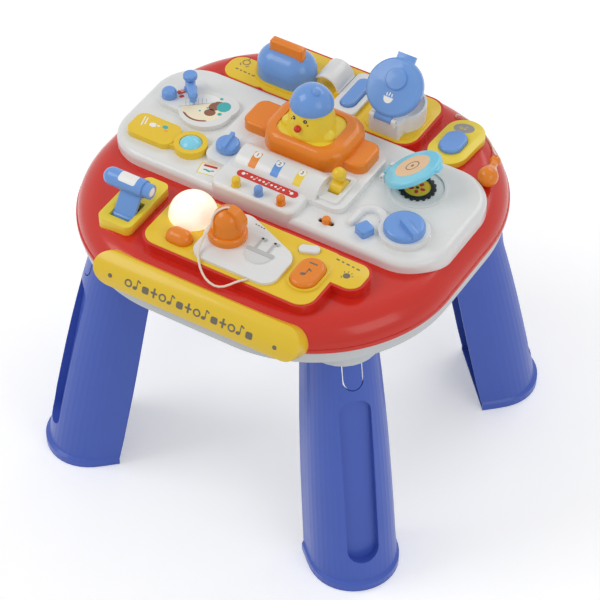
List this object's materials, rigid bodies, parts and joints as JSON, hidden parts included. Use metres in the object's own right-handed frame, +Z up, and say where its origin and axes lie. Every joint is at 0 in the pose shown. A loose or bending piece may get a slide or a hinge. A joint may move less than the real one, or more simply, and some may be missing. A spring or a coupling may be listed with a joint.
{
  "type": "toddler activity table",
  "caption": "Round-cornered activity table for small children on four channel legs, its top covered with push, turn, slide, tilt and lift toys.",
  "frame": {"origin": "on the floor under the middle of the table's four feet", "axes": "+Z up, +X to the right along the front edge, -Y towards the front edge with the long bar"},
  "size_m": [0.5118, 0.4829, 0.515],
  "materials": {
    "red": "glossy moulded plastic",
    "housing_grey": "fine satin",
    "white": "glossy moulded plastic",
    "yellow": "glossy moulded plastic",
    "lemon": "glossy moulded plastic",
    "orange": "glossy moulded plastic",
    "light_blue": "glossy moulded plastic",
    "leg_blue": "satin gloss",
    "cyan": "glossy moulded plastic",
    "black": "glossy moulded plastic",
    "lamp": "translucent, lit warm white",
    "string": "thin braided string",
    "steel": "plain steel",
    "board": "solder resist",
    "dark": "plain black",
    "cell": "plain sleeve"
  },
  "bodies": {
    "table": {"top_cap": "red", "housing": "housing_grey", "deck": "white", "front_bar": "yellow", "leg_front_left": "leg_blue", "leg_front_right": "leg_blue", "leg_back_right": "leg_blue", "leg_back_left": "leg_blue", "front_panel": "yellow", "back_panel": "yellow", "bean_panel": "lemon", "roller_base": "lemon", "lamp_dome": "lamp", "plug_plate": "white", "console": "white", "console_strip": "red", "tub": "orange", "wash_base": "white", "bottle": "yellow", "toaster": "light_blue", "button_plate": "white", "pot": "white", "dial_base": "white", "peek_ring": "black", "peek_disc": "yellow", "circuit_board": "board", "speaker": "dark", "battery_tray": "dark", "battery_cells": "cell", "battery_door": "housing_grey", "screws": "steel", "hinge_pins": "steel"},
    "toy_plug": {"plug_cord": "string", "toy_plug": "orange"},
    "drumstick": {"stick_cord": "string", "drumstick": "orange"},
    "toast": {"toast": "orange"},
    "pot_lid": {"pot_lid": "light_blue"},
    "peek_lid": {"peek_lid": "cyan"},
    "chick": {"chick": "lemon", "chick_cap": "light_blue", "chick_beak": "red"},
    "post_yellow": {"post_yellow": "yellow"},
    "post_blue": {"post_blue": "light_blue"},
    "post_orange": {"post_orange": "orange"},
    "gear_lever": {"gear_lever": "yellow"},
    "pointer_knob": {"pointer_knob": "light_blue"},
    "faucet": {"faucet": "light_blue"},
    "tap_knob": {"tap_knob": "light_blue"},
    "dome_button": {"dome_button": "cyan"},
    "roller_lever": {"roller_lever": "light_blue"},
    "lamp_switch": {"lamp_switch": "orange"},
    "pill_button": {"pill_button": "white"},
    "music_button": {"music_button": "orange"},
    "slider_knob": {"slider_knob": "orange"},
    "square_button": {"square_button": "light_blue"},
    "big_dial": {"big_dial": "light_blue"},
    "back_button": {"back_button": "light_blue"},
    "bean_button": {"bean_button": "light_blue"},
    "page_flap": {"page_flap": "white"}
  },
  "joints": [
    {"name": "toast_slide", "type": "slide", "parent": "table", "child": "toast", "axis": [0, 0, -1], "range_m": [0, 0.02], "stiffness_N_per_m": 40, "springref_m": -0.016},
    {"name": "chick_slide", "type": "slide", "parent": "table", "child": "chick", "axis": [0, 0, -1], "range_m": [0, 0.005], "stiffness_N_per_m": 200, "springref_m": -0.012},
    {"name": "post_yellow_slide", "type": "slide", "parent": "table", "child": "post_yellow", "axis": [0, 0, -1], "range_m": [0, 0.003], "stiffness_N_per_m": 80, "springref_m": -0.004},
    {"name": "post_blue_slide", "type": "slide", "parent": "table", "child": "post_blue", "axis": [0, 0, -1], "range_m": [0, 0.003], "stiffness_N_per_m": 80, "springref_m": -0.004},
    {"name": "post_orange_slide", "type": "slide", "parent": "table", "child": "post_orange", "axis": [0, 0, -1], "range_m": [0, 0.003], "stiffness_N_per_m": 80, "springref_m": -0.004},
    {"name": "dome_button_slide", "type": "slide", "parent": "table", "child": "dome_button", "axis": [0, 0, -1], "range_m": [0, 0.003], "stiffness_N_per_m": 100, "springref_m": -0.004},
    {"name": "lamp_switch_slide", "type": "slide", "parent": "table", "child": "lamp_switch", "axis": [0, 0, -1], "range_m": [0, 0.003], "stiffness_N_per_m": 100, "springref_m": -0.004},
    {"name": "pill_button_slide", "type": "slide", "parent": "table", "child": "pill_button", "axis": [0, 0, -1], "range_m": [0, 0.002], "stiffness_N_per_m": 100, "springref_m": -0.004},
    {"name": "music_button_slide", "type": "slide", "parent": "table", "child": "music_button", "axis": [0, 0, -1], "range_m": [0, 0.003], "stiffness_N_per_m": 120, "springref_m": -0.004},
    {"name": "square_button_slide", "type": "slide", "parent": "table", "child": "square_button", "axis": [0, 0, -1], "range_m": [0, 0.003], "stiffness_N_per_m": 100, "springref_m": -0.004},
    {"name": "back_button_slide", "type": "slide", "parent": "table", "child": "back_button", "axis": [0, 0, -1], "range_m": [0, 0.003], "stiffness_N_per_m": 100, "springref_m": -0.004},
    {"name": "bean_button_slide", "type": "slide", "parent": "table", "child": "bean_button", "axis": [0, 0, -1], "range_m": [0, 0.003], "stiffness_N_per_m": 100, "springref_m": -0.004},
    {"name": "slider_knob_slide", "type": "slide", "parent": "table", "child": "slider_knob", "axis": [1, 0, 0], "range_m": [-0.006, 0.006]},
    {"name": "toy_plug_slide", "type": "slide", "parent": "table", "child": "toy_plug", "axis": [0, 0, 1], "range_m": [0, 0.02]},
    {"name": "drumstick_slide", "type": "slide", "parent": "table", "child": "drumstick", "axis": [0, 0, 1], "range_m": [0, 0.03]},
    {"name": "pot_lid_hinge", "type": "hinge", "parent": "table", "child": "pot_lid", "pos_m": [0.058, 0.116, 0.438], "axis": [1, 0, 0], "range_deg": [-44.8, 35]},
    {"name": "peek_lid_hinge", "type": "hinge", "parent": "table", "child": "peek_lid", "pos_m": [0.1025, 0.0495, 0.423], "axis": [0, -1, 0], "range_deg": [-28, 60]},
    {"name": "gear_lever_hinge", "type": "hinge", "parent": "table", "child": "gear_lever", "pos_m": [0.069, -0.008, 0.424], "axis": [1, 0, 0], "range_deg": [-12, 12], "stiffness_Nm_per_rad": 0.1},
    {"name": "pointer_knob_hinge", "type": "hinge", "parent": "table", "child": "pointer_knob", "pos_m": [-0.083, -0.017, 0.425], "axis": [0, 0, 1], "range_deg": [-60, 60]},
    {"name": "faucet_hinge", "type": "hinge", "parent": "table", "child": "faucet", "pos_m": [-0.182, 0.052, 0.424], "axis": [0, 0, 1], "range_deg": [-25, 60]},
    {"name": "tap_knob_hinge", "type": "hinge", "parent": "table", "child": "tap_knob", "pos_m": [-0.198, 0.028, 0.424], "axis": [0, 0, 1], "range_deg": [-90, 90]},
    {"name": "roller_lever_hinge", "type": "hinge", "parent": "table", "child": "roller_lever", "pos_m": [-0.1345, -0.17, 0.406], "axis": [1, 0, 0], "range_deg": [-20, 0], "stiffness_Nm_per_rad": 0.1, "springref_deg": 14.32},
    {"name": "big_dial_hinge", "type": "hinge", "parent": "table", "child": "big_dial", "pos_m": [0.172, -0.03, 0.424], "axis": [0, 0, 1], "range_deg": [-120, 120]},
    {"name": "page_flap_hinge", "type": "hinge", "parent": "table", "child": "page_flap", "pos_m": [-0.028, 0.17, 0.415], "axis": [0, 1, 0], "range_deg": [0, 30]}
  ]
}
